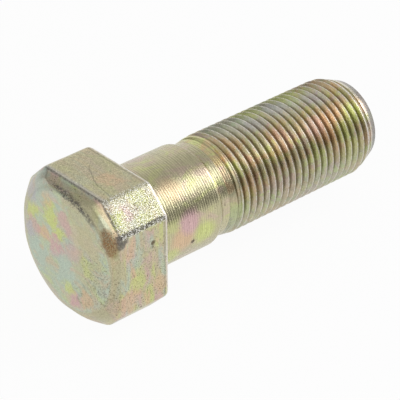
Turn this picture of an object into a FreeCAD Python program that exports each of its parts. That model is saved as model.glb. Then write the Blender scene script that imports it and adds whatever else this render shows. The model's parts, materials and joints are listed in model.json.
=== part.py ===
"""Steel bolt: a square head with flattened corners, a turned shank and a rolled thread.

The bolt lies along X. The head runs from -X to its bearing face at x = 0, and the shank and
thread run on to +X. +Z is the outward normal of one wide flat of the head. Lengths are in mm.
"""

import FreeCAD, Part

import math
import os

import Sketcher

# Driving dimensions: alias, value, what it sets.
DIMENSIONS = [
    ("head_height", 16.0, "bearing face to end face"),
    ("across_flats", 32.0, "across two wide flats"),
    ("across_corner_flats", 36.9, "across two flattened corners"),
    ("end_face_diameter", 27.6, "round edge of the end face, inside the chamfer"),
    ("chamfer_angle", 27.0, "head chamfer, from the end face, in degrees"),
    ("head_edge_radius", 1.4, "rounding between neighbouring flats"),
    ("rim_radius", 0.9, "rounding of the flats into the bearing face"),
    ("underhead_radius", 0.8, "fillet between bearing face and shank"),
    ("shank_diameter", 24.6, "turned shank"),
    ("shank_length", 19.6, "bearing face to the foot of the shoulder"),
    ("shoulder_radius", 1.8, "rounding of the shank's end"),
    ("neck_length", 2.0, "plain neck between shoulder and thread"),
    ("runout_length", 4.0, "from the plain neck to the full thread"),
    ("overall_length", 69.0, "bearing face to tip"),
    ("crest_diameter", 23.95, "over the thread's crests"),
    ("thread_pitch", 2.0, "axial distance between crests"),
    ("tip_length", 5.2, "tapered tip, along the axis"),
    ("tip_depth", 2.0, "how far the tip tapers, along the radius"),
]
FLANK_TANGENT = round(math.tan(math.radians(30)), 6)  # half of the 60 degree thread angle
CUT_CLEARANCE = 0.12  # how far the thread groove's profile stands out of the crests
EDGE_SHARE = 0.9  # of a corner flat's width that its two roundings may take
RIM_SHARE = 0.9  # of the bearing face's narrowest width that the rim's rounding may take
CORE_OVERLAP = 0.15  # how far the run-out's cone dips under the thread's roots

# Radii and lengths worked out from the driving dimensions, as sheet expressions.
SHANK = "(dims.shank_diameter / 2)"
CREST = "(dims.crest_diameter / 2)"
THREAD_DEPTH = "(0.6134 * dims.thread_pitch)"  # of a metric external thread
CREST_FLAT = "(dims.thread_pitch / 8)"
ROOT = f"({CREST} - {THREAD_DEPTH})"
NECK = f"({CREST} - {THREAD_DEPTH} / 2)"  # the blank that the thread is rolled on
RUNOUT_START = "(dims.shank_length + dims.neck_length)"
RUNOUT_END = f"({RUNOUT_START} + dims.runout_length)"
HALF_FLATS = "(dims.across_flats / 2)"


def make_sheet(document):
    sheet = document.addObject("Spreadsheet::Sheet", "dims")
    for row, (alias, value, meaning) in enumerate(DIMENSIONS, start=1):
        sheet.set(f"A{row}", alias)
        sheet.set(f"B{row}", str(value))
        sheet.setAlias(f"B{row}", alias)
        sheet.set(f"C{row}", meaning)
    document.recompute()
    return sheet


def new_sketch(body, name, plane_role):
    sketch = body.newObject("Sketcher::SketchObject", name)
    plane = next(item for item in body.Origin.OriginFeatures if item.Role == plane_role)
    sketch.AttachmentSupport = [(plane, "")]
    sketch.MapMode = "FlatFace"
    return sketch


def bind(sketch, constraint, expression):
    """Add a dimension to the sketch and drive it from the sheet."""
    index = sketch.addConstraint(constraint)
    sketch.setExpression(f"Constraints[{index}]", expression)


def arc_through(start, end, radius):
    """Arc from start to end, centre on the left for a positive radius. Returns it and if it runs
    anticlockwise."""
    chord = end - start
    middle = (start + end) / 2
    left = FreeCAD.Vector(-chord.y, chord.x, 0).normalize()
    height = math.sqrt(radius**2 - (chord.Length / 2) ** 2)
    centre = middle + left * math.copysign(height, radius)
    angles = [math.atan2(p.y - centre.y, p.x - centre.x) for p in (start, end)]
    anticlockwise = radius > 0
    if not anticlockwise:
        angles.reverse()
    circle = Part.Circle(centre, FreeCAD.Vector(0, 0, 1), abs(radius))
    return Part.ArcOfCircle(circle, *angles), anticlockwise


def draw_outline(sketch, corners):
    """Closed outline through corners. A corner is (x, y) or (x, y, radius): sheet expressions,
    and the radius makes the next side an arc, with its centre on the left if positive."""
    points = [
        FreeCAD.Vector(sketch.evalExpression(c[0]), sketch.evalExpression(c[1]), 0)
        for c in corners
    ]
    ends = []
    for here, corner in enumerate(corners):
        start, end = points[here], points[(here + 1) % len(points)]
        if len(corner) == 2:
            side = sketch.addGeometry(Part.LineSegment(start, end))
            ends.append((side, 1, 2))
            continue
        arc, anticlockwise = arc_through(start, end, sketch.evalExpression(corner[2]))
        side = sketch.addGeometry(arc)
        ends.append((side, 1, 2) if anticlockwise else (side, 2, 1))
        bind(sketch, Sketcher.Constraint("Radius", side, arc.Radius), f"abs({corner[2]})")
    for here, (side, first, _) in enumerate(ends):
        before, _, last = ends[here - 1]
        sketch.addConstraint(Sketcher.Constraint("Coincident", before, last, side, first))
        x, y = points[here].x, points[here].y
        bind(sketch, Sketcher.Constraint("DistanceX", -1, 1, side, first, x), corners[here][0])
        bind(sketch, Sketcher.Constraint("DistanceY", -1, 1, side, first, y), corners[here][1])


def revolve(body, name, corners, kind="PartDesign::Revolution"):
    """Full turn of an outline in the XZ plane about X: added, or cut where kind is a groove."""
    sketch = new_sketch(body, f"{name}_outline", "XZ_Plane")
    draw_outline(sketch, corners)
    feature = body.newObject(kind, name)
    feature.Profile = sketch
    feature.ReferenceAxis = (sketch, ["H_Axis"])
    feature.Angle = 360
    return feature


def add_threaded_blank(body):
    """Crest cylinder with its run-in cone and tapered tip, before the thread is cut."""
    revolve(
        body,
        "threaded_blank",
        [
            ("dims.shank_length", "0"),
            ("dims.shank_length", NECK),
            (RUNOUT_START, NECK),
            (RUNOUT_END, CREST),
            ("dims.overall_length - dims.tip_length", CREST),
            ("dims.overall_length", f"{CREST} - dims.tip_depth"),
            ("dims.overall_length", "0"),
        ],
    )


def cut_thread(body):
    """Right-hand V groove, from inside the neck to past the tip."""
    mouth = f"((dims.thread_pitch - {CREST_FLAT}) / 2 + {CUT_CLEARANCE} * {FLANK_TANGENT})"
    floor = f"({mouth} - ({THREAD_DEPTH} + {CUT_CLEARANCE}) * {FLANK_TANGENT})"
    start = f"({RUNOUT_START} - {mouth})"
    outer = f"{CREST} + {CUT_CLEARANCE}"
    sketch = new_sketch(body, "thread_groove_outline", "XZ_Plane")
    draw_outline(
        sketch,
        [
            (f"{start} - {mouth}", outer),
            (f"{start} - {floor}", ROOT),
            (f"{start} + {floor}", ROOT),
            (f"{start} + {mouth}", outer),
        ],
    )
    groove = body.newObject("PartDesign::SubtractiveHelix", "thread_groove")
    groove.Profile = sketch
    groove.ReferenceAxis = (sketch, ["H_Axis"])
    groove.Mode = "pitch-height-angle"
    groove.LeftHanded = False
    groove.setExpression("Pitch", "dims.thread_pitch")
    groove.setExpression("Height", f"dims.overall_length + dims.thread_pitch - {start}")


def add_core(body):
    """Shank, shoulder and neck, and the cone that brings the thread's roots up to the neck."""
    step = f"({SHANK} - {NECK})"
    rounding = f"max(dims.shoulder_radius; abs({step}))"
    shoulder_length = f"sqrt({rounding} ^ 2 - ({rounding} - abs({step})) ^ 2)"
    underhead = "dims.underhead_radius"
    revolve(
        body,
        "core",
        [
            ("-dims.head_height / 2", "0"),
            ("-dims.head_height / 2", f"{SHANK} + {underhead}"),
            ("0", f"{SHANK} + {underhead}", underhead),
            (underhead, SHANK),
            (f"dims.shank_length - {shoulder_length}", SHANK, f"({step} < 0 ? 1 : -1) * {rounding}"),
            ("dims.shank_length", NECK),
            (RUNOUT_START, NECK),
            (RUNOUT_END, f"{ROOT} - {CORE_OVERLAP}"),
            (RUNOUT_END, "0"),
        ],
    )


def add_head(document, body):
    """Octagon with four wide flats and four narrow corner flats, chamfered to a round end face."""
    half = HALF_FLATS
    corner = f"(dims.across_corner_flats / 2 * sqrt(2) - {half})"
    sketch = new_sketch(body, "head_outline", "YZ_Plane")
    draw_outline(
        sketch,
        [
            (half, f"-{corner}"),
            (half, corner),
            (corner, half),
            (f"-{corner}", half),
            (f"-{half}", corner),
            (f"-{half}", f"-{corner}"),
            (f"-{corner}", f"-{half}"),
            (corner, f"-{half}"),
        ],
    )
    head = body.newObject("PartDesign::Pad", "head")
    head.Profile = sketch
    head.setExpression("Length", "dims.head_height")
    head.Reversed = True
    document.recompute()

    flats = body.newObject("PartDesign::Fillet", "head_edges")
    flats.Base = (head, edges_where(head.Shape, is_between_flats))
    corner_wall = f"({half} - {corner}) * sqrt(2) / (2 * tan(22.5))"
    flats.setExpression("Radius", f"min(dims.head_edge_radius; {corner_wall} * {EDGE_SHARE})")
    document.recompute()

    rim = body.newObject("PartDesign::Fillet", "head_rim")
    rim.Base = (flats, edges_where(flats.Shape, is_on_bearing_rim))
    wall = f"({half} - {SHANK} - dims.underhead_radius)"
    rim.setExpression("Radius", f"min(dims.rim_radius; {wall} * {RIM_SHARE})")
    document.recompute()

    end = "-dims.head_height"
    edge = "dims.end_face_diameter / 2"
    drop = f"(dims.across_corner_flats - {edge}) * tan(dims.chamfer_angle)"
    revolve(
        body,
        "head_chamfer",
        [
            (end, edge),
            (f"{end} + {drop}", "dims.across_corner_flats"),
            (end, "dims.across_corner_flats"),
        ],
        kind="PartDesign::Groove",
    )


def edges_where(shape, wanted):
    return [f"Edge{n}" for n, edge in enumerate(shape.Edges, start=1) if wanted(edge)]


def distance_from_axis(point):
    return math.hypot(point.y, point.z)


def is_between_flats(edge):
    """Straight edge along X: only the head has any."""
    ends = [vertex.Point for vertex in edge.Vertexes]
    if len(ends) != 2 or edge.Curve.TypeId != "Part::GeomLine":
        return False
    return abs((ends[1] - ends[0]).normalize().x) > 0.999


def is_on_bearing_rim(edge):
    """Edge of the bearing face, outside the underhead fillet's circle."""
    middle = edge.valueAt((edge.FirstParameter + edge.LastParameter) / 2)
    box = edge.BoundBox
    flat = abs(box.XMin) < 1e-6 and abs(box.XMax) < 1e-6
    return flat and edge.Length < 2 * math.pi * distance_from_axis(middle) * 0.9


def check(document):
    """Stop if an object failed, or a body's shape is empty or broken."""
    failed = [o.Name for o in document.Objects if {"Invalid", "Error"} & set(o.State)]
    if failed:
        raise RuntimeError(f"failed: {failed}")
    for body in document.findObjects("PartDesign::Body"):
        if body.Shape.isNull() or not body.Shape.isValid() or len(body.Shape.Solids) != 1:
            raise RuntimeError(f"{body.Label} is not one valid solid")


def main():
    document = FreeCAD.newDocument("bolt")
    make_sheet(document)
    body = document.addObject("PartDesign::Body", "bolt")
    body.Label = "bolt"
    add_threaded_blank(body)
    document.recompute()
    cut_thread(body)
    document.recompute()
    add_core(body)
    document.recompute()
    add_head(document, body)
    document.recompute()
    check(document)

    os.makedirs("parts", exist_ok=True)
    for body in document.findObjects("PartDesign::Body"):
        body.Shape.exportStep(f"parts/{body.Label}.step")
        box = body.Shape.BoundBox
        print(f"{body.Label}: volume {body.Shape.Volume:.1f} mm3")
        print(f"  x {box.XMin:.3f} to {box.XMax:.3f}, y {box.YMin:.3f} to {box.YMax:.3f},")
        print(f"  z {box.ZMin:.3f} to {box.ZMax:.3f}")


main()
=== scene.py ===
"""Looks of the steel bolt: one forged, turned and rolled piece, yellow zinc plated, in a studio.

The bolt lies along X with the bearing face of its head at x = 0 and +Z out of one wide flat.
Everything is in metres. Lengths inside materials are in millimetres.
"""

import json
import math

import bmesh
import bpy
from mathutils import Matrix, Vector


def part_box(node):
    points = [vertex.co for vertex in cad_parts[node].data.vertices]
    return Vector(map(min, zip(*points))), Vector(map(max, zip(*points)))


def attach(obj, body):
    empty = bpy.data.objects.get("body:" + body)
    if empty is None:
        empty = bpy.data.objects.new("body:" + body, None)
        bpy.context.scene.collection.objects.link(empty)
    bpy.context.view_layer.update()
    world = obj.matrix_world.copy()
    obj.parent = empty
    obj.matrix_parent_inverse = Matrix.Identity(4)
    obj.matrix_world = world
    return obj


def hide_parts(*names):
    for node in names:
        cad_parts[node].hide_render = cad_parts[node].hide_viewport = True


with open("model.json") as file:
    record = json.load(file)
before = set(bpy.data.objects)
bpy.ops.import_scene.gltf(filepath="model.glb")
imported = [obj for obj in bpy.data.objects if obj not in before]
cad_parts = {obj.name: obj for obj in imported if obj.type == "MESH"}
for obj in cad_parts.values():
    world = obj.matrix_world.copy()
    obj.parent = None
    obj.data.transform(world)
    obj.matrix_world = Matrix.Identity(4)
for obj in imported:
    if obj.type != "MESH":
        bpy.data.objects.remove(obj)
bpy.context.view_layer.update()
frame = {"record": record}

bl_info = {
    "name": "Steel bolt",
    "version": (1, 0, 0),
    "blender": (4, 5, 0),
    "location": "View3D > Sidebar > Bolt",
    "description": "Models a yellow zinc plated steel bolt and the studio that it lies in",
    "category": "Object",
}

MM = 0.001
NODE_LOW, NODE_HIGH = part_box("bolt")
MOUNTS = {mount["name"]: mount for mount in frame["record"]["mounts"]}

MERGE_DISTANCE = 1e-6
FULL_TURN = 2 * math.pi
FLANK_DEGREES = 30  # half of the thread's angle
FLANK = math.radians(FLANK_DEGREES)
CREST_START = 102  # degrees from +X, where a crest's rounding starts
CORNER_TURN = math.radians(45)  # from one flat of the head to the next
SMOOTH_ANGLE = math.radians(38)  # sharper edges than this stay sharp
TURN_STEPS = 96  # segments round the shaft
ARC_STEPS = 6  # segments in each rounding of an outline
THREAD_ARC_STEPS = 3  # segments in each rounding of the thread
HOLLOW_SIZE = 6 * MM  # of the forging's uneven hollows
RUNOUT_LIFT = 0.75  # share of its depth that the groove has lost where the run-out starts
END_EDGE = (0.3 * MM, 0.35 * MM)  # length and depth of the broken edge round the tip's end face
GROOVE_LIP = 0.018 * MM  # that the groove's tool stands past the crests
UNDERHEAD_FACE = -0.2 * MM  # faces of the shank start here


# ---------------------------------------------------------------------------------------------
# Settings that a user would change


def length_property(name, description, default):
    return bpy.props.FloatProperty(
        name=name, description=description, default=default,
        subtype="DISTANCE", unit="LENGTH", precision=5,
    )


def angle_property(name, description, degrees):
    return bpy.props.FloatProperty(
        name=name, description=description, default=math.radians(degrees),
        subtype="ANGLE", unit="ROTATION",
    )


def colour_property(name, description, default):
    return bpy.props.FloatVectorProperty(
        name=name, description=description, default=default, subtype="COLOR", size=3, min=0, max=1
    )


class BoltSizes(bpy.types.PropertyGroup):
    """Sizes of the bolt."""

    head_height: length_property("Head height", "Bearing face to end face", -NODE_LOW[0])
    across_flats: length_property("Across flats", "Across two wide flats", 2 * NODE_HIGH[2])
    across_corner_flats: length_property("Across corner flats", "Across two narrow flats", 36.9 * MM)
    end_face_diameter: length_property("End face", "Round edge of the head's end face", 27.6 * MM)
    end_face_rounding: length_property("End face rounding", "Rounding of the end face's edge", 1.5 * MM)
    chamfer_angle: angle_property("Chamfer angle", "Inner part of the chamfer, from the end face", 22)
    shoulder_angle: angle_property("Steep chamfer angle", "Outer part of the head's chamfer", 43)
    break_radius: length_property("Chamfer break", "Radius where the chamfer gets steeper", 16.5 * MM)
    edge_rounding: length_property("Edge rounding", "Rounding between neighbouring flats", 1.9 * MM)
    top_trim: length_property("Top trim", "How far the top flat stops short of the end face", 2.7 * MM)
    rim_rounding: length_property("Rim rounding", "Rounding of the flats into the bearing face", 1.3 * MM)
    underhead_rounding: length_property("Underhead rounding", "Fillet between head and shank", 0.8 * MM)
    shank_radius: length_property("Shank radius", "Turned shank", MOUNTS["shank"]["dims"]["r_mm"] * MM)
    shank_length: length_property("Shank length", "Bearing face to the shoulder's foot", 19.6 * MM)
    shoulder_rounding: length_property("Shoulder rounding", "Rounding of the shank's end", 1.8 * MM)
    foot_rounding: length_property("Foot rounding", "Fillet from the shoulder to the neck", 0.6 * MM)
    neck_length: length_property("Neck length", "Plain neck before the run-out", 2.0 * MM)
    runout_length: length_property("Run-out length", "Neck to full thread", 4.0 * MM)
    overall_length: length_property("Length under head", "Bearing face to tip", NODE_HIGH[0])
    crest_radius: length_property("Crest radius", "Over the thread's crests", 11.975 * MM)
    pitch: length_property("Pitch", "Distance between crests", 2.0 * MM)
    tip_length: length_property("Tip length", "Length of the tapered tip", 5.2 * MM)
    tip_depth: length_property("Tip depth", "How far the tip tapers along the radius", 2.0 * MM)
    crest_rounding: length_property("Crest rounding", "Rounding of the thread's crests", 0.12 * MM)
    root_rounding: length_property("Root rounding", "Rounding of the thread's roots", 0.3 * MM)
    grain: length_property("Forging grain", "Mesh size and softness of the head", 0.3 * MM)
    unevenness: length_property("Forging unevenness", "Depth of the head's hollows", 0.09 * MM)


class BoltFinish(bpy.types.PropertyGroup):
    """Colours of the coating, some of them also used for painted glints, highlights and shade."""

    base: colour_property("Base", "Khaki of the coating", (0.585, 0.545, 0.345))
    rose: colour_property("Rose", "Interference colour", (0.68, 0.46, 0.45))
    salmon: colour_property("Salmon", "Interference colour", (0.73, 0.53, 0.34))
    amber: colour_property("Amber", "Interference colour", (0.72, 0.46, 0.25))
    lime: colour_property("Lime", "Interference colour", (0.65, 0.70, 0.27))
    mint: colour_property("Mint", "Interference colour", (0.53, 0.62, 0.52))
    lilac: colour_property("Lilac", "Interference colour", (0.56, 0.54, 0.55))
    rust: colour_property("Rust", "Brown patch on the chamfer", (0.26, 0.12, 0.035))
    # Grey grime along the edges, also used for painted shade lines on the head.
    grey_grime_and_shade: colour_property("Grime", "Grey dirt along the edges", (0.15, 0.14, 0.13))
    # Painted glints: pale grains painted on as highlights.
    bright: colour_property("Bright", "Grains that catch the light", (0.92, 0.89, 0.74))
    # Worn plating, also used as a painted highlight on the thread's crests and the head's rim.
    worn_and_highlight: colour_property("Worn", "Worn edges and crests", (0.90, 0.84, 0.78))
    # Brown stain in pits, also used as painted shade in the thread's roots.
    stain_and_shade: colour_property("Stain", "Brown in pits and roots", (0.16, 0.12, 0.07))


class StudioSettings(bpy.types.PropertyGroup):
    """Camera."""

    target: bpy.props.FloatVectorProperty(
        name="Target", description="Point that the camera looks at",
        default=(0.0202, -0.0028, -0.0008), subtype="TRANSLATION", unit="LENGTH",
    )
    azimuth: angle_property("Azimuth", "Camera's bearing from the target, from +X", -131.54)
    elevation: angle_property("Elevation", "Camera's height angle above the target", 32.36)
    distance: length_property("Distance", "Camera to target", 0.5)
    lens: bpy.props.FloatProperty(name="Lens", description="Focal length in mm", default=200.55, min=1)


# ---------------------------------------------------------------------------------------------
# Modelling by hand


def activate(piece):
    bpy.ops.object.select_all(action="DESELECT")
    piece.select_set(True)
    bpy.context.view_layer.objects.active = piece


def edit(piece):
    activate(piece)
    bpy.ops.object.mode_set(mode="EDIT")


def leave_edit():
    bpy.ops.object.mode_set(mode="OBJECT")


def select_edges(piece, wanted):
    """In edit mode, select just the edges that wanted(first end, second end) accepts."""
    bpy.ops.mesh.select_mode(type="EDGE")
    bpy.ops.mesh.select_all(action="DESELECT")
    mesh = bmesh.from_edit_mesh(piece.data)
    found = [e for e in mesh.edges if wanted(e.verts[0].co, e.verts[1].co)]
    for edge in found:
        edge.select_set(True)
    bmesh.update_edit_mesh(piece.data)
    if not found:
        raise RuntimeError(f"{piece.name}: no edges found to shape")


def rounding(centre, radius, first, last, steps=ARC_STEPS):
    """Points (x, radius from the axis) of an arc, with its angles in degrees from +X."""
    angles = [math.radians(first + (last - first) * step / steps) for step in range(steps + 1)]
    return [(centre[0] + radius * math.cos(a), centre[1] + radius * math.sin(a)) for a in angles]


def draw_outline(name, points):
    """Edge chain through points (x, radius) above the axis, drawn by extruding one vertex."""
    bpy.ops.object.select_all(action="DESELECT")
    bpy.ops.mesh.primitive_plane_add(size=MM, location=(0, 0, 0))
    piece = bpy.context.object
    piece.name = name
    piece.data.name = name
    bpy.ops.object.mode_set(mode="EDIT")
    bpy.ops.mesh.select_mode(type="VERT")
    bpy.ops.mesh.merge(type="CENTER")
    places = [Vector((x, 0, radius)) for x, radius in points]
    bpy.ops.transform.translate(value=places[0])
    for before, place in zip(places, places[1:]):
        bpy.ops.mesh.extrude_region_move(TRANSFORM_OT_translate={"value": place - before})
    leave_edit()
    return piece


def spin_round_axis(piece):
    """Turn an outline into a closed solid of revolution about X."""
    edit(piece)
    bpy.ops.mesh.select_all(action="SELECT")
    bpy.ops.mesh.spin(steps=TURN_STEPS, angle=FULL_TURN, center=(0, 0, 0), axis=(1, 0, 0))
    close_mesh()
    leave_edit()


def close_mesh():
    """In edit mode, merge doubles, fill open ends and turn faces outwards."""
    bpy.ops.mesh.select_all(action="SELECT")
    bpy.ops.mesh.remove_doubles(threshold=MERGE_DISTANCE)
    bpy.ops.mesh.select_all(action="SELECT")
    bpy.ops.mesh.fill_holes(sides=0)
    bpy.ops.mesh.select_all(action="SELECT")
    bpy.ops.mesh.normals_make_consistent(inside=False)


def apply_modifier(piece, kind, **settings):
    activate(piece)
    modifier = piece.modifiers.new(kind.lower(), kind)
    for name, value in settings.items():
        setattr(modifier, name, value)
    bpy.ops.object.modifier_apply(modifier=modifier.name)


def combine(piece, tool, operation):
    """Boolean of two pieces. The tool is used up."""
    apply_modifier(piece, "BOOLEAN", object=tool, operation=operation, solver="EXACT")
    bpy.data.objects.remove(tool)


# ---------------------------------------------------------------------------------------------
# Pieces


def make_head(sizes):
    """Square forging with flattened corners, rounded edges and a turned chamfer."""
    height, half = sizes.head_height, sizes.across_flats / 2
    corner = sizes.across_corner_flats / math.sqrt(2) - half
    bpy.ops.object.select_all(action="DESELECT")
    bpy.ops.mesh.primitive_cube_add(
        size=1, location=(-height / 2, 0, 0), scale=(height, sizes.across_flats, sizes.across_flats)
    )
    head = bpy.context.object
    head.name = "head"
    bpy.ops.object.transform_apply(location=True, rotation=True, scale=True)

    def along_axis(a, b):
        return abs(a.x - b.x) > height / 2

    def on_bearing_face(a, b):
        return max(abs(a.x), abs(b.x)) < MERGE_DISTANCE

    edit(head)
    select_edges(head, along_axis)
    bpy.ops.mesh.bevel(offset=half - corner, segments=1, affect="EDGES")
    select_edges(head, along_axis)
    tangent = sizes.edge_rounding * math.tan(CORNER_TURN / 2)
    bpy.ops.mesh.bevel(offset=tangent, segments=ARC_STEPS, affect="EDGES")
    select_edges(head, on_bearing_face)
    bpy.ops.mesh.bevel(offset=sizes.rim_rounding, segments=ARC_STEPS, affect="EDGES")
    trim = Vector((-(half - sizes.end_face_diameter / 2), 0, sizes.top_trim))
    bpy.ops.mesh.select_all(action="SELECT")
    bpy.ops.mesh.bisect(
        plane_co=(sizes.top_trim - height, 0, half), plane_no=trim, use_fill=True, clear_outer=True,
        threshold=MERGE_DISTANCE,
    )
    leave_edit()

    combine(head, make_chamfer_tool(sizes), "INTERSECT")
    apply_modifier(head, "REMESH", mode="VOXEL", voxel_size=sizes.grain)
    apply_modifier(head, "SMOOTH", factor=0.5, iterations=3)
    dent(head, "forging_hollows", HOLLOW_SIZE, sizes.unevenness)
    return head


def make_chamfer_tool(sizes):
    """Solid of revolution that the head's blank is trimmed to: flat end, rounding and two cones."""
    end, edge = -sizes.head_height, sizes.end_face_diameter / 2
    radius = sizes.end_face_rounding
    start = edge - radius * math.tan(sizes.chamfer_angle / 2)
    arc = rounding((end + radius, start), radius, 180, 180 - math.degrees(sizes.chamfer_angle))
    break_x = end + (sizes.break_radius - edge) * math.tan(sizes.chamfer_angle)
    outer = sizes.across_corner_flats
    outer_x = break_x + (outer - sizes.break_radius) * math.tan(sizes.shoulder_angle)
    points = [(end, 0), *arc, (break_x, sizes.break_radius), (outer_x, outer), (outer_x, 0)]
    tool = draw_outline("chamfer_tool", points)
    spin_round_axis(tool)
    return tool


def dent(piece, name, size, depth):
    """Shallow uneven hollows pressed into the surface. Nothing stands out further than before."""
    texture = bpy.data.textures.new(name, "CLOUDS")
    texture.noise_scale = size
    texture.noise_depth = 2
    apply_modifier(
        piece, "DISPLACE", texture=texture, texture_coords="LOCAL", strength=depth, mid_level=1.0
    )
    bpy.data.textures.remove(texture)


def make_shaft(sizes):
    """Shank, shoulder, neck and thread, as turned before the thread's groove is rolled in."""
    both = sizes.crest_rounding + sizes.root_rounding
    depth = (sizes.pitch / 2 - both * math.cos(FLANK)) / math.tan(FLANK) + both * math.sin(FLANK)
    shank, crest = sizes.shank_radius, sizes.crest_radius
    neck = crest - depth / 2
    head_end = shank + sizes.underhead_rounding
    end = sizes.overall_length
    thread_start = sizes.shank_length + sizes.neck_length
    underhead = rounding((sizes.underhead_rounding, head_end), sizes.underhead_rounding, 180, 270)
    round_r, foot_r = sizes.shoulder_rounding, sizes.foot_rounding
    drop = shank - neck
    turn = math.degrees(math.acos(1 - drop / (round_r + foot_r)))
    foot_x = sizes.shank_length
    centre_x = foot_x - (round_r + foot_r) * math.sin(math.radians(turn))
    shoulder = rounding((centre_x, shank - round_r), round_r, 90, 90 - turn)
    foot = rounding((foot_x, neck + foot_r), foot_r, 270 - turn, 270)
    points = [
        (-MM, 0), (-MM, head_end), *underhead, *shoulder, *foot[1:], (thread_start, neck),
        (thread_start + sizes.runout_length, crest),
        (end - sizes.tip_length, crest), (end - END_EDGE[0], crest - sizes.tip_depth),
        (end, crest - sizes.tip_depth - END_EDGE[1]), (end, 0),
    ]
    shaft = draw_outline("shaft", points)
    spin_round_axis(shaft)
    combine(shaft, make_groove(sizes, depth, thread_start), "DIFFERENCE")
    return shaft


def make_groove(sizes, depth, start):
    """Helical tool for the thread's groove: rounded floor, straight flanks and a flared mouth."""
    crest, root = sizes.crest_radius, sizes.crest_radius - depth
    crest_centre = (sizes.pitch / 2, crest - sizes.crest_rounding)
    root_centre = (0, root + sizes.root_rounding)
    crest_angles, root_angles = (CREST_START, 180 - FLANK_DEGREES), (-FLANK_DEGREES, -90)
    side = [
        *rounding(crest_centre, sizes.crest_rounding, *crest_angles, THREAD_ARC_STEPS),
        *rounding(root_centre, sizes.root_rounding, *root_angles, THREAD_ARC_STEPS),
    ]
    side.insert(0, (side[0][0] + GROOVE_LIP, side[0][1] + GROOVE_LIP))
    outline = side + [(-x, radius) for x, radius in reversed(side)]
    points = [(start + x, radius) for x, radius in outline + outline[:1]]
    groove = draw_outline("groove", points)
    edit(groove)
    bpy.ops.mesh.select_all(action="SELECT")
    bpy.ops.mesh.remove_doubles(threshold=MERGE_DISTANCE)
    leave_edit()
    turns = math.ceil((sizes.overall_length + sizes.pitch - start) / sizes.pitch)
    apply_modifier(
        groove, "SCREW", axis="X", angle=FULL_TURN, screw_offset=sizes.pitch, iterations=turns,
        steps=TURN_STEPS, render_steps=TURN_STEPS, use_merge_vertices=False,
    )
    for vertex in groove.data.vertices:
        into_thread = (vertex.co.x - start) / sizes.runout_length
        lift = 1 + (1 - min(max(into_thread, 0), 1)) * RUNOUT_LIFT * depth / crest
        vertex.co.y *= lift
        vertex.co.z *= lift
    edit(groove)
    close_mesh()
    leave_edit()
    return groove


class BOLT_OT_make_bolt(bpy.types.Operator):
    """Model the bolt: forged head, turned shank and rolled thread, in one piece."""

    bl_idname = "bolt.make_bolt"
    bl_label = "Make bolt"

    def execute(self, context):
        sizes = context.scene.bolt_sizes
        bolt = make_head(sizes)
        combine(bolt, make_shaft(sizes), "UNION")
        bolt.name = "forged_bolt"
        bolt.data.name = "forged_bolt"
        edit(bolt)
        close_mesh()
        leave_edit()
        activate(bolt)
        bpy.ops.object.shade_smooth_by_angle(angle=SMOOTH_ANGLE)
        paint_bolt(bolt, context.scene.bolt_finish)
        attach(bolt, "root")
        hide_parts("bolt")
        return {"FINISHED"}


# ---------------------------------------------------------------------------------------------
# Materials


class Wire:
    """A node's output, which adds Math nodes when it is used in a sum."""

    def __init__(self, shader, socket):
        self.shader = shader
        self.socket = socket

    def math(self, operation, *values):
        inputs = dict(enumerate(values))
        return self.shader.node("ShaderNodeMath", {"operation": operation}, inputs)

    def __add__(self, other):
        return self.math("ADD", self, other)

    def __sub__(self, other):
        return self.math("SUBTRACT", self, other)

    def __rsub__(self, other):
        return self.math("SUBTRACT", other, self)

    def __mul__(self, other):
        return self.math("MULTIPLY", self, other)

    def __pow__(self, other):
        return self.math("POWER", self, other)

    __radd__ = __add__
    __rmul__ = __mul__

    def sine(self):
        return self.math("SINE", self)

    def most(self, other):
        return self.math("MAXIMUM", self, other)

    def between(self, low, high):
        """0 at low and 1 at high, with a smooth rise."""
        return self.shader.node(
            "ShaderNodeMapRange", {"interpolation_type": "SMOOTHSTEP"}, {0: self, 1: low, 2: high}
        )

    def line(self, outer, inner=0.0):
        """1 where the value is 0, and 0 where its square reaches outer."""
        return (self * self).between(outer, inner)


class Shader:
    """Node tree of one material or world."""

    def __init__(self, owner):
        owner.use_nodes = True
        self.tree = owner.node_tree
        self.tree.nodes.clear()

    def node(self, kind, settings=None, inputs=None, output=0):
        """Add a node, with its settings first. Returns one of its outputs."""
        node = self.tree.nodes.new(kind)
        for name, value in (settings or {}).items():
            setattr(node, name, value)
        for name, value in (inputs or {}).items():
            if isinstance(value, Wire):
                self.tree.links.new(value.socket, node.inputs[name])
            else:
                node.inputs[name].default_value = value
        return Wire(self, node.outputs[output]) if node.outputs else None

    def mix(self, share, first, second):
        """Colour from first to second."""
        return self.node(
            "ShaderNodeMix", {"data_type": "RGBA"}, {0: share, 6: first, 7: second}, 2
        )

    def noise(self, place, scale, detail=2, roughness=0.5, distortion=0.0):
        inputs = {"Vector": place, "Scale": scale, "Detail": detail, "Roughness": roughness,
                  "Distortion": distortion}
        return self.node("ShaderNodeTexNoise", {}, inputs)

    def scaled(self, values, factor):
        """Colour or vector times a factor."""
        return self.node("ShaderNodeVectorMath", {"operation": "SCALE"}, {0: values, "Scale": factor})

    def axes(self, vector):
        """The vector's X, Y and Z."""
        return [self.node("ShaderNodeSeparateXYZ", inputs={0: vector}, output=axis) for axis in range(3)]

    def light_path(self):
        """Whether a ray is the camera's, whether it was mirrored, and whether it went through glass."""
        rays = ("Is Camera Ray", "Is Glossy Ray", "Is Transmission Ray")
        return [self.node("ShaderNodeLightPath", output=ray) for ray in rays]


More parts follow.
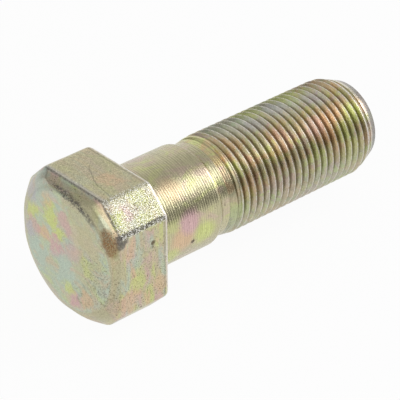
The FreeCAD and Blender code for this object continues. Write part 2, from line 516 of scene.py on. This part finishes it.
class Place:
    """Where a point of the piece is, in millimetres."""

    def __init__(self, shader):
        metres = shader.node("ShaderNodeTexCoord", output="Object")
        self.shader = shader
        self.point = shader.scaled(metres, 1 / MM)
        self.x, self.y, self.z = shader.axes(self.point)
        self.radius = (self.y * self.y + self.z * self.z) ** 0.5

    def stretched(self, size, turn=0.0, shift=(0, 0, 0)):
        """The point, for a pattern of this size along each axis, turned about X."""
        return self.shader.node(
            "ShaderNodeMapping", {"vector_type": "TEXTURE"},
            {"Vector": self.point, "Location": shift, "Rotation": (turn, 0, 0), "Scale": size},
        )

    def distance(self, centre):
        return self.shader.node(
            "ShaderNodeVectorMath", {"operation": "DISTANCE"}, {0: self.point, 1: centre}, "Value"
        )

    def near(self, centre, radius, ragged=0.0):
        """1 at centre, 0 from radius outwards."""
        return (self.distance(centre) + ragged).between(radius, radius * SPOT_CORE)


def colour(values):
    return (*values, 1)


SPOT_CORE = 0.4  # share of a spot's radius that is at full strength
SPOT_RAGGEDNESS = 0.3  # share of its radius by which a spot's edge wanders

# Noises: scale, which is per mm on the bolt itself, then detail, roughness and distortion
PATCH_NOISE = (1, 3, 0.55, 1.0)
GRAIN_NOISE = (1.9, 3, 0.65)
FINE_NOISE = (4.0, 2, 0.7)
BEND_NOISE = (0.25, 1)
BLOT_NOISE = (0.45, 2)
ZONE_NOISE = (0.16, 2)
SPECK_NOISE = (3.0, 2, 0.7)
SMUDGE_NOISE = (0.9, 4, 0.75)
TURNED_NOISE = (3.0, 2, 0.7)
WANDER_NOISE = (0.5, 2)
SCRATCH_NOISE = (1, 2, 0.7)
SHANK_SPECK_NOISE = (2.2, 1)
THREAD_NOISE = (1.6, 3)
THREAD_FINE_NOISE = (3.5, 2, 0.7)
THREAD_SCRATCH_NOISE = (1, 2, 0.6)


def patches(shader, place, tint, finish, patterns):
    """Lay soft patches over a tint: (colour name, shift of the pattern, its limits, strength)."""
    for name, shift, limits, strength in patterns:
        apart = (shift, shift, 3 * shift)
        moved = shader.node("ShaderNodeVectorMath", {"operation": "ADD"}, {0: place, 1: apart})
        patch = shader.noise(moved, *PATCH_NOISE).between(*limits)
        tint = shader.mix(patch * strength, tint, colour(getattr(finish, name)))
    return tint


def marks(shader, place, tint, finish, spots, ragged):
    """Lay single round marks over a tint: (place in mm, radius in mm, colour name, strength)."""
    for centre, radius, name, strength in spots:
        spot = place.near(centre, radius, ragged * (radius * SPOT_RAGGEDNESS))
        tint = shader.mix(spot * strength, tint, colour(getattr(finish, name)))
    return tint


def metal(shader, base, roughness, height, depth):
    """Finish a material: plated metal with a bump of this depth in mm."""
    normal = shader.node(
        "ShaderNodeBump", {}, {"Strength": 1.0, "Distance": depth * MM, "Height": height}
    )
    surface = shader.node(
        "ShaderNodeBsdfPrincipled",
        {},
        {"Base Color": base, "Metallic": 1.0, "Roughness": roughness, "Normal": normal},
    )
    shader.node("ShaderNodeOutputMaterial", {}, {"Surface": surface})


# Patches: colour, shift of its pattern, limits in the noise, strength.
# Spots: centre in mm, radius in mm, colour, strength. Zones: centre in mm, radius in mm.
HEAD_PATCHES = (
    ("lime", 0.0, (0.44, 0.64), 0.75),
    ("rose", 4.0, (0.45, 0.64), 0.75),
    ("mint", 8.0, (0.47, 0.65), 0.7),
    ("salmon", 12.0, (0.49, 0.65), 0.75),
)
HEAD_SPOTS = (
    ((-15.8, -4.5, 11.0), 7.0, "base", 0.7),
    ((-15.8, -8.0, 5.5), 6.0, "base", 0.6),
    ((-15.8, -6.0, -2.0), 6.5, "base", 0.5),
    ((-15.8, 5.0, 8.5), 2.8, "lime", 0.8),
    ((-15.8, 4.6, 5.5), 3.4, "lime", 0.9),
    ((-15.8, 2.0, 3.4), 3.0, "lime", 0.9),
    ((-15.8, 11.5, 5.2), 3.0, "lime", 0.8),
    ((-15.8, 7.2, 1.3), 3.0, "salmon", 0.8),
    ((-15.8, 6.8, 10.6), 2.8, "salmon", 0.6),
    ((-15.8, 3.4, -0.6), 3.6, "rose", 0.9),
    ((-15.8, -2.2, 0.6), 3.8, "rose", 0.5),
    ((-15.8, 0.1, 7.0), 3.4, "rose", 0.7),
    ((-15.8, 11.2, 1.6), 2.6, "rose", 0.7),
    ((-15.8, -2.6, -11.0), 3.0, "rose", 0.9),
    ((-15.8, -7.0, -10.0), 3.0, "salmon", 0.7),
    ((-15.8, -0.6, -9.2), 2.8, "lime", 0.8),
    ((-15.8, -6.9, -1.0), 3.2, "lime", 0.6),
    ((-15.8, 9.2, -5.3), 4.2, "mint", 0.9),
    ((-15.8, 12.0, -3.6), 3.0, "mint", 0.7),
    ((-15.8, 1.0, -5.0), 4.6, "mint", 0.9),
    ((-15.8, 13.0, 0.0), 2.4, "lilac", 0.8),
    ((-6.9, -2.4, 16.0), 2.8, "salmon", 0.6),
    ((-5.8, -5.2, 16.0), 2.8, "salmon", 0.6),
    ((-9.7, -13.3, 12.8), 2.2, "rose", 0.75),
    ((-12.3, -13.5, 12.6), 2.4, "lime", 0.9),
    ((-6.0, -15.0, 11.0), 3.0, "lime", 0.6),
    ((-5.0, -11.5, 14.5), 3.0, "lime", 0.5),
    ((-15.4, 9.5, 12.5), 4.5, "mint", 0.8),
    ((-15.2, 12.5, 9.5), 3.5, "lilac", 0.7),
    ((-9.0, -16.0, -3.0), 3.0, "lime", 0.7),
    ((-9.0, -16.0, 3.0), 2.6, "mint", 0.6),
    ((-11.5, -16.0, -7.0), 3.5, "salmon", 0.7),
    ((-2.5, -16.0, -6.0), 3.0, "salmon", 0.7),
    ((-6.0, -16.0, 1.5), 2.5, "rose", 0.5),
    ((-15.2, -11.0, -12.0), 4.0, "base", 0.9),
    ((-13.3, -15.6, 9.4), 1.7, "grey_grime_and_shade", 0.85),
    ((-13.4, -15.7, 8.0), 1.1, "grey_grime_and_shade", 0.7),
    ((-4.9, -16.0, 5.1), 0.7, "stain_and_shade", 0.9),
    ((-4.9, -16.0, 4.2), 0.5, "stain_and_shade", 0.6),
)
RUST_SPOTS = (
    ((-14.9, -12.7, 9.8), 2.0, "rust", 0.9),
    ((-14.9, -13.6, 8.3), 2.5, "rust", 1.0),
    ((-14.9, -14.4, 6.6), 2.0, "rust", 0.9),
)
SPECK_ZONES = (
    ((-14.9, -13.6, 8.3), 4.0),
    ((-15.8, -10.5, -1.5), 8.0),
    ((-15.8, -12.5, -7.0), 8.0),
    ((-15.5, -3.0, 14.0), 5.0),
    ((-15.5, 4.5, 15.5), 3.5),
    ((-1.5, -16.0, 4.0), 3.5),
    ((-5.0, -14.5, 11.5), 6.5),
    ((-7.0, -16.0, -2.0), 14.0),
)
SMUDGE_ZONES = (
    ((-15.8, -11.5, -4.0), 6.5),
    ((-15.8, -5.5, -9.0), 5.0),
)

# Soft edges of the head's areas, in mm: where an area starts, and where it is at full strength
END_FACE_X = (-15.3, -15.7)
CORNER_FLAT_ACROSS = (17.6, 18.0)
CORNER_FLAT_X = (-13.5, -13.1)
TOP_FLAT_Z = (15.0, 15.7)
TOP_FLAT_X = (-13.6, -13.0)
TOP_FRONT_X = (-11.8, -12.8)
CHAMFER_RADIUS = (14.3, 14.8)
CHAMFER_X = (-13.6, -14.0)
RIM_X = (-1.4, -0.8)
RIM_END_X = (-0.05, -0.25)


class HeadAreas:
    """Masks of the head's faces, and the noises that roughen them."""

    def __init__(self, shader, place):
        self.grain = shader.noise(place.point, *GRAIN_NOISE)
        self.fine = shader.noise(place.point, *FINE_NOISE)
        self.ragged = (self.grain - 0.5) * 2.0
        self.bend = shader.noise(place.point, *BEND_NOISE) - 0.5
        self.across = (place.z - place.y) * math.sqrt(0.5)
        corner = (self.across + self.ragged * 0.2).between(*CORNER_FLAT_ACROSS)
        self.end_face = place.x.between(*END_FACE_X)
        self.corner_flat = corner * place.x.between(*CORNER_FLAT_X)
        self.top_flat = place.z.between(*TOP_FLAT_Z) * place.x.between(*TOP_FLAT_X)
        self.chamfer = place.radius.between(*CHAMFER_RADIUS) * place.x.between(*CHAMFER_X)
        self.rim = place.x.between(*RIM_X) * place.x.between(*RIM_END_X)


def head_colours(shader, place, areas, finish):
    """Interference colours: streaks on the end face, upright bands on the flats, and single marks."""
    streaks = place.stretched((1, 9.0, 4.2), turn=0.3, shift=(0, 3, 1))
    bands = place.stretched((2.8, 9, 9), shift=(2, 0, 0))
    where = shader.node(
        "ShaderNodeMix", {"data_type": "VECTOR"}, {0: areas.end_face, 4: bands, 5: streaks}, 1
    )
    plain = shader.mix(areas.end_face * 0.8, colour(finish.base), colour(finish.mint))
    coloured = patches(shader, where, plain, finish, HEAD_PATCHES)
    share = 1 - areas.top_flat * 0.7 - areas.corner_flat * 0.5 - areas.end_face * 0.4
    tint = shader.mix(share, plain, coloured)
    front = (place.x + areas.ragged * 0.4).between(*TOP_FRONT_X) * areas.top_flat
    tint = shader.mix(front * 0.5, tint, colour(finish.lilac))
    tint = shader.mix(areas.chamfer * 0.45, tint, colour(finish.base))
    blots = areas.ragged * 0.6 + (shader.noise(place.point, *BLOT_NOISE) - 0.5) * 7
    tint = marks(shader, place, tint, finish, HEAD_SPOTS, blots)
    rust = marks(shader, place, tint, finish, RUST_SPOTS, areas.ragged)
    return shader.mix(0.35 + areas.fine.between(0.42, 0.56) * 0.65, tint, rust)


def head_specks(shader, place, areas):
    """Small brown pits, more of them in some zones."""
    zone = shader.noise(place.point, *ZONE_NOISE).between(0.52, 0.70) * 0.5
    for centre, size in SPECK_ZONES:
        zone = zone.most(place.near(centre, size))
    zone = zone.most(areas.top_flat * 0.45)
    return shader.noise(place.point, *SPECK_NOISE).between(0.57, 0.66) * zone


def head_grime_and_shade(place, areas):
    """Grey grime and painted shade in thin uneven lines, each of which lies where its distance in mm is
    0.
    """
    grain, ragged = areas.grain, areas.ragged
    ring = place.radius - 14.3
    straight = place.z - place.y * 0.2 - 14.2
    edge = ring + (straight - ring) * place.y.between(-5, -1) + ragged * 0.5
    # The line round the top of the end face's edge is painted shade: a dark band where the edge mirrors
    # the dim room.
    end_face_shade_line = edge.line(0.8, 0.05) * place.z.between(9, 13) * grain.between(0.38, 0.54)
    end_face_shade_line = end_face_shade_line * place.x.between(-14.6, -15.0)
    valley = place.y + place.z + 5.7 + ragged * 0.5 + areas.bend * 0.8
    valley_line = valley.line(0.9, 0.05) * areas.across.between(16.3, 17.4)
    valley_line = valley_line * place.x.between(-14.4, -13.4)
    lip = place.x + 13.45 + ragged * 0.3
    lip_line = lip.line(0.10, 0.01) * areas.across.between(17.3, 18.0) * grain.between(0.3, 0.5)
    fold = place.x + 13.25 + ragged * 0.3
    fold_line = fold.line(0.12, 0.01) * place.z.between(15.2, 15.8) * grain.between(0.3, 0.55)
    # The crease in the top flat is drawn as a dark line: painted shade in the dent.
    crease = place.distance((8.7, -9.3, 16)) - 19.2 + areas.bend * 1.6 + ragged * 0.2
    crease_shade_line = crease.line(0.03) * place.z.between(15.8, 15.9) * place.y.between(5, 3)
    crease_shade_line = crease_shade_line * grain.between(0.3, 0.5)
    rear = place.x + 1.5 + ragged * 0.5
    rear_line = rear.line(0.14) * grain.between(0.35, 0.55) * (0.42 - areas.corner_flat * 0.35)
    grime_and_shade = valley_line.most(lip_line).most(end_face_shade_line).most(fold_line * 0.8)
    return grime_and_shade.most(crease_shade_line * 0.55).most(rear_line)


def head_material(finish):
    """Forged and plated: soft colour streaks, grainy flats, specks and brown stains, with painted glints,
    painted highlights on the corner flats and the rim, and grime lines that are partly painted shade.
    """
    material = bpy.data.materials.new("zinc_on_forging")
    shader = Shader(material)
    place = Place(shader)
    areas = HeadAreas(shader, place)
    grain, fine, corner_flat = areas.grain, areas.fine, areas.corner_flat

    specks = head_specks(shader, place, areas)
    first, second = (place.near(centre, size) for centre, size in SMUDGE_ZONES)
    smudge = first.most(second) * shader.noise(place.point, *SMUDGE_NOISE).between(0.50, 0.62)
    grime_and_shade = head_grime_and_shade(place, areas)
    # Painted glints: grains painted pale as highlights, mostly on the corner flats.
    painted_glints = fine.between(0.50, 0.62) * (0.1 + corner_flat * 0.9)
    # Tone that differs at random, with stronger grain on the corner flats; their lift of 0.12 is a
    # painted highlight from the soft box.
    shade = 0.50 + fine * 0.6 + grain * 0.34 + corner_flat * ((fine - 0.5) * 2.6 + 0.12)
    shade = shade + areas.top_flat * ((fine + grain - 1.0) * 0.5 - 0.03) - areas.chamfer * 0.1

    tint = head_colours(shader, place, areas, finish)
    # Grey grime along the edges, with painted shade in the crease and round the end face's edge.
    tint = shader.mix(grime_and_shade * 0.85, tint, colour(finish.grey_grime_and_shade))
    tint = shader.mix((specks * 0.9).most(smudge * 0.4), tint, colour(finish.stain_and_shade))
    tint = shader.mix(painted_glints, tint, colour(finish.bright))
    # Pale rim: worn plating along the bearing edge, partly a painted highlight.
    tint = shader.mix(areas.rim * 0.75, tint, colour(finish.worn_and_highlight))
    tint = shader.scaled(tint, shade)
    height = grain * (0.3 + corner_flat * 1.0) + fine * (0.25 + corner_flat * 0.8)
    roughness = 0.26 + grain * 0.1 + areas.end_face * 0.14 + grime_and_shade * 0.2
    metal(shader, tint, roughness, height - (grime_and_shade + specks) * 0.4, depth=0.08)
    return material


SHANK_PATCHES = (
    ("lime", 3.0, (0.48, 0.68), 0.45),
    ("rose", 6.0, (0.48, 0.68), 0.4),
)
SHANK_SPOTS = (
    ((7.2, -7.7, 9.6), 4.0, "salmon", 0.6),
    ((6.9, -12.3, -1.1), 4.5, "salmon", 1.0),
    ((9.1, -12.0, 2.5), 4.0, "rose", 1.0),
    ((13.4, -12.2, -1.9), 4.0, "lime", 0.9),
    ((4.0, -12.0, -5.0), 3.5, "lime", 0.8),
    ((10.0, -12.0, -2.9), 0.75, "stain_and_shade", 1.0),
)


TURNING_PITCH = 0.64  # mm between the turning lines


def shank_material(finish):
    """Turned and plated: fine lines round the shank, with colour bands."""
    material = bpy.data.materials.new("zinc_on_turning")
    shader = Shader(material)
    place = Place(shader)
    fine = shader.noise(place.point, *TURNED_NOISE)
    tint = patches(shader, place.stretched((8, 5, 4)), colour(finish.base), finish, SHANK_PATCHES)
    tint = marks(shader, place, tint, finish, SHANK_SPOTS, (fine - 0.5) * 2.0)
    wander = shader.noise(place.point, *WANDER_NOISE)
    lines = (place.x * (FULL_TURN / TURNING_PITCH) + wander * 2.0).sine() * 0.5 + 0.5
    scratches = shader.noise(place.stretched((0.2, 5, 5)), *SCRATCH_NOISE)
    specks = shader.noise(place.point, *SHANK_SPECK_NOISE).between(0.70, 0.76) * 0.6
    tint = shader.mix(specks, tint, colour(finish.stain_and_shade))
    tint = shader.scaled(tint, 0.38 + scratches * 0.6 + lines * 0.1 + fine * 0.46)
    height = lines * 0.8 + scratches * 1.0 + fine * 0.35 - specks * 0.8
    metal(shader, tint, 0.18 + scratches * 0.12, height, depth=0.05)
    return material


THREAD_PATCHES = (
    ("lime", 2.0, (0.48, 0.60), 0.7),
    ("salmon", 5.0, (0.50, 0.62), 0.7),
    ("rose", 9.0, (0.54, 0.64), 0.6),
    ("amber", 13.0, (0.44, 0.62), 0.5),
)
THREAD_SPOTS = (
    ((54.3, -9.3, 7.4), 6.0, "amber", 0.8),
    ((58.2, -10.4, 5.8), 3.6, "lime", 0.8),
    ((50.9, -7.9, 8.9), 4.0, "rose", 0.45),
    ((60.0, -11.3, 0.0), 5.0, "lime", 0.6),
    ((56.0, -1.5, 11.8), 4.0, "lilac", 0.6),
    ((33.0, 3.0, 11.8), 9.0, "mint", 0.6),
    ((48.0, 3.0, 11.8), 9.0, "mint", 0.6),
    ((38.0, -1.0, 11.8), 4.0, "lilac", 0.6),
    ((46.0, 1.0, 11.8), 4.0, "lilac", 0.6),
    ((52.0, 5.0, 10.8), 6.0, "lime", 0.8),
    ((41.0, 5.0, 10.8), 5.0, "lime", 0.7),
    ((62.5, -8.5, 8.3), 4.0, "lime", 0.9),
)


# Places on the thread, in mm
CREST_LEVEL = 11.975  # radius over the crests
TAPER_START, TAPER_SLOPE = 63.8, 0.38
TIP_X = (66.9, 67.3)
TIP_FACE_X = (68.95, 68.99)
RUNOUT_X = (27.0, 25.5)
RUNOUT_RING_PITCH = 0.55
FACING_RING_PITCH = 0.7


def thread_material(finish):
    """Rolled and plated: thin pale crests that are partly a painted highlight, coloured flanks, brown
    roots that are partly painted shade, and painted shade below the top.
    """
    material = bpy.data.materials.new("zinc_on_thread")
    shader = Shader(material)
    place = Place(shader)
    ragged = shader.noise(place.point, *THREAD_NOISE)
    fine = shader.noise(place.point, *THREAD_FINE_NOISE)
    scratches = shader.noise(place.stretched((0.25, 2, 2)), *THREAD_SCRATCH_NOISE)
    tint = patches(shader, place.stretched((9, 5, 5)), colour(finish.base), finish, THREAD_PATCHES)
    tint = marks(shader, place, tint, finish, THREAD_SPOTS, (ragged - 0.5) * 2.0)
    tint = shader.mix(place.z.between(6, -4) * 0.4, tint, colour(finish.mint))

    taper = (place.x - TAPER_START).most(0.0) * TAPER_SLOPE
    depth = (CREST_LEVEL - place.radius) - taper + (ragged - 0.5) * 0.3
    # Darker roots: brown stain, partly painted shade in the grooves.
    root = depth.between(0.5, 1.1)
    tint = shader.mix(root * 0.5, tint, colour(finish.stain_and_shade))
    # Pale crests: worn plating, partly a painted highlight along each crest.
    crest = depth.between(0.18, 0.06) * ragged.between(0.38, 0.5)
    tint = shader.mix(crest * 0.7, tint, colour(finish.worn_and_highlight))

    end_face = place.x.between(*TIP_FACE_X)
    tip = place.x.between(*TIP_X) * (1 - end_face * 0.7)
    tint = shader.mix(tip * 0.5, tint, colour(finish.lilac))
    # Painted shade: the thread is a little lighter at its top and darker from 6 mm above the axis
    # downwards.
    painted_shade_below_top = place.z.between(12, 6) * 0.3
    shade = (0.40 + scratches * 0.65 + fine * 0.58) * (1.1 - painted_shade_below_top) * (1 - tip * 0.4)
    tint = shader.scaled(tint, shade)

    rings = (place.x * (FULL_TURN / RUNOUT_RING_PITCH)).sine() * place.x.between(*RUNOUT_X) * 0.7
    rings = rings + (place.radius * (FULL_TURN / FACING_RING_PITCH)).sine() * end_face * 0.8
    height = ragged * 0.4 + scratches * 0.8 + rings
    metal(shader, tint, 0.22 + ragged * 0.16, height, depth=0.045)
    return material


def paint_bolt(bolt, finish):
    """Give each face the material of its stretch of the bolt."""
    head, shank, thread = range(3)
    sizes = bpy.context.scene.bolt_sizes
    for make in (head_material, shank_material, thread_material):
        bolt.data.materials.append(make(finish))
    neck_end = sizes.shank_length + sizes.neck_length
    for face in bolt.data.polygons:
        inside = face.center.yz.length < sizes.shank_radius + sizes.underhead_rounding
        if face.center.x > neck_end:
            face.material_index = thread
        elif face.center.x > UNDERHEAD_FACE and inside:
            face.material_index = shank
        else:
            face.material_index = head


# ---------------------------------------------------------------------------------------------
# Studio


SENSOR_WIDTH = 36  # mm
FLOOR_SIZE = 2.0  # m, as are the soft boxes' distance and sizes
SOFTBOX_TARGET = (0.02, 0, 0)
SOFTBOX_DISTANCE = 0.6
SOFTBOXES = (  # name, azimuth and elevation in degrees, width, height, radiance
    ("softbox", -39, 43, 0.39, 0.26, 1.5),
    ("side_softbox", -152, 26, 0.45, 0.3, 1.3),
    ("rim_light", -10, 14, 0.3, 0.24, 4.0),
)
PLAIN_WHITE = (1, 1, 1, 1)
FLOOR_GREY = (0.85, 0.85, 0.85, 1)
BACKDROP_DIRECTION = (0.57, 0.82, 0.05)  # nearly the way that the camera looks, but level


def look_from(target, azimuth, elevation, distance):
    direction = Vector(
        (
            math.cos(elevation) * math.cos(azimuth),
            math.cos(elevation) * math.sin(azimuth),
            math.sin(elevation),
        )
    )
    return Vector(target) + distance * direction, direction.to_track_quat("Z", "Y").to_euler()


def add_camera(studio):
    data = bpy.data.cameras.new("camera")
    data.lens = studio.lens
    data.sensor_width = SENSOR_WIDTH
    camera = bpy.data.objects.new("camera", data)
    bpy.context.scene.collection.objects.link(camera)
    camera.location, camera.rotation_euler = look_from(
        studio.target, studio.azimuth, studio.elevation, studio.distance
    )
    bpy.context.scene.camera = camera


def add_softbox(name, azimuth, elevation, width, height, radiance):
    data = bpy.data.lights.new(name, "AREA")
    data.shape = "RECTANGLE"
    data.size = width
    data.size_y = height
    data.energy = radiance * math.pi * width * height
    light = bpy.data.objects.new(name, data)
    bpy.context.scene.collection.objects.link(light)
    light.location, light.rotation_euler = look_from(
        SOFTBOX_TARGET, math.radians(azimuth), math.radians(elevation), SOFTBOX_DISTANCE
    )


class BOLT_OT_make_studio(bpy.types.Operator):
    """Set up the camera, the floor, the soft boxes and the room's light."""

    bl_idname = "bolt.make_studio"
    bl_label = "Make studio"

    def execute(self, context):
        add_camera(context.scene.bolt_studio)
        bpy.ops.object.select_all(action="DESELECT")
        bpy.ops.mesh.primitive_plane_add(size=FLOOR_SIZE, location=(0, 0, NODE_LOW[2]))
        floor = bpy.context.object
        floor.name = "floor"
        bpy.ops.object.transform_apply(location=True, rotation=True, scale=True)
        for softbox in SOFTBOXES:
            add_softbox(*softbox)
        paint_floor(floor)
        light_room(context.scene)
        context.scene.view_settings.view_transform = "Standard"
        return {"FINISHED"}


def paint_floor(floor):
    """Pale floor that looks white, and keeps part of the shadow."""
    material = bpy.data.materials.new("pale_floor")
    shader = Shader(material)
    seen, mirrored, through = shader.light_path()
    pale = shader.node("ShaderNodeBsdfDiffuse", {}, {"Color": FLOOR_GREY})
    white = shader.node("ShaderNodeEmission", {}, {"Color": PLAIN_WHITE, "Strength": 1.0})
    share = (seen * 0.95).most(mirrored.most(through) * 0.8)
    surface = shader.node("ShaderNodeMixShader", {}, {0: share, 1: pale, 2: white})
    shader.node("ShaderNodeOutputMaterial", {}, {"Surface": surface})
    floor.data.materials.append(material)


def light_room(scene):
    """Dim room with a paler ceiling and head side, and a white backdrop. The camera sees only white."""
    scene.world = bpy.data.worlds.new("room")
    shader = Shader(scene.world)
    direction = shader.node("ShaderNodeTexCoord", output="Generated")
    along, _, up = shader.axes(direction)
    towards_backdrop = shader.node(
        "ShaderNodeVectorMath", {"operation": "DOT_PRODUCT"},
        {0: direction, 1: BACKDROP_DIRECTION}, "Value",
    )
    ceiling = up.between(0.05, 0.6) * 0.35
    head_side = along.between(-0.45, -0.8) * up.between(0.7, 0.3) * 0.28
    strength = 0.2 + ceiling + head_side
    room = shader.node("ShaderNodeBackground", {}, {"Color": PLAIN_WHITE, "Strength": strength})
    white = shader.node("ShaderNodeBackground", {}, {"Color": PLAIN_WHITE, "Strength": 1.0})
    seen, mirrored, through = shader.light_path()
    share = seen.most(mirrored.most(through) * towards_backdrop.between(0.65, 0.97) * 0.85)
    surface = shader.node("ShaderNodeMixShader", {}, {0: share, 1: room, 2: white})
    shader.node("ShaderNodeOutputWorld", {}, {"Surface": surface})


# ---------------------------------------------------------------------------------------------
# Add-on


class BOLT_PT_panel(bpy.types.Panel):
    """Lists the bolt's operators."""

    bl_label = "Bolt"
    bl_idname = "BOLT_PT_panel"
    bl_space_type = "VIEW_3D"
    bl_region_type = "UI"
    bl_category = "Bolt"

    def draw(self, context):
        for operator in OPERATORS:
            self.layout.operator(operator.bl_idname)


OPERATORS = (BOLT_OT_make_bolt, BOLT_OT_make_studio)
CLASSES = (BoltSizes, BoltFinish, StudioSettings, *OPERATORS, BOLT_PT_panel)


def register():
    for item in CLASSES:
        bpy.utils.register_class(item)
    bpy.types.Scene.bolt_sizes = bpy.props.PointerProperty(type=BoltSizes)
    bpy.types.Scene.bolt_finish = bpy.props.PointerProperty(type=BoltFinish)
    bpy.types.Scene.bolt_studio = bpy.props.PointerProperty(type=StudioSettings)


def unregister():
    del bpy.types.Scene.bolt_studio
    del bpy.types.Scene.bolt_finish
    del bpy.types.Scene.bolt_sizes
    for item in reversed(CLASSES):
        bpy.utils.unregister_class(item)


def main():
    register()
    bpy.ops.bolt.make_bolt()
    bpy.ops.bolt.make_studio()


if __name__ == "__main__":
    main()
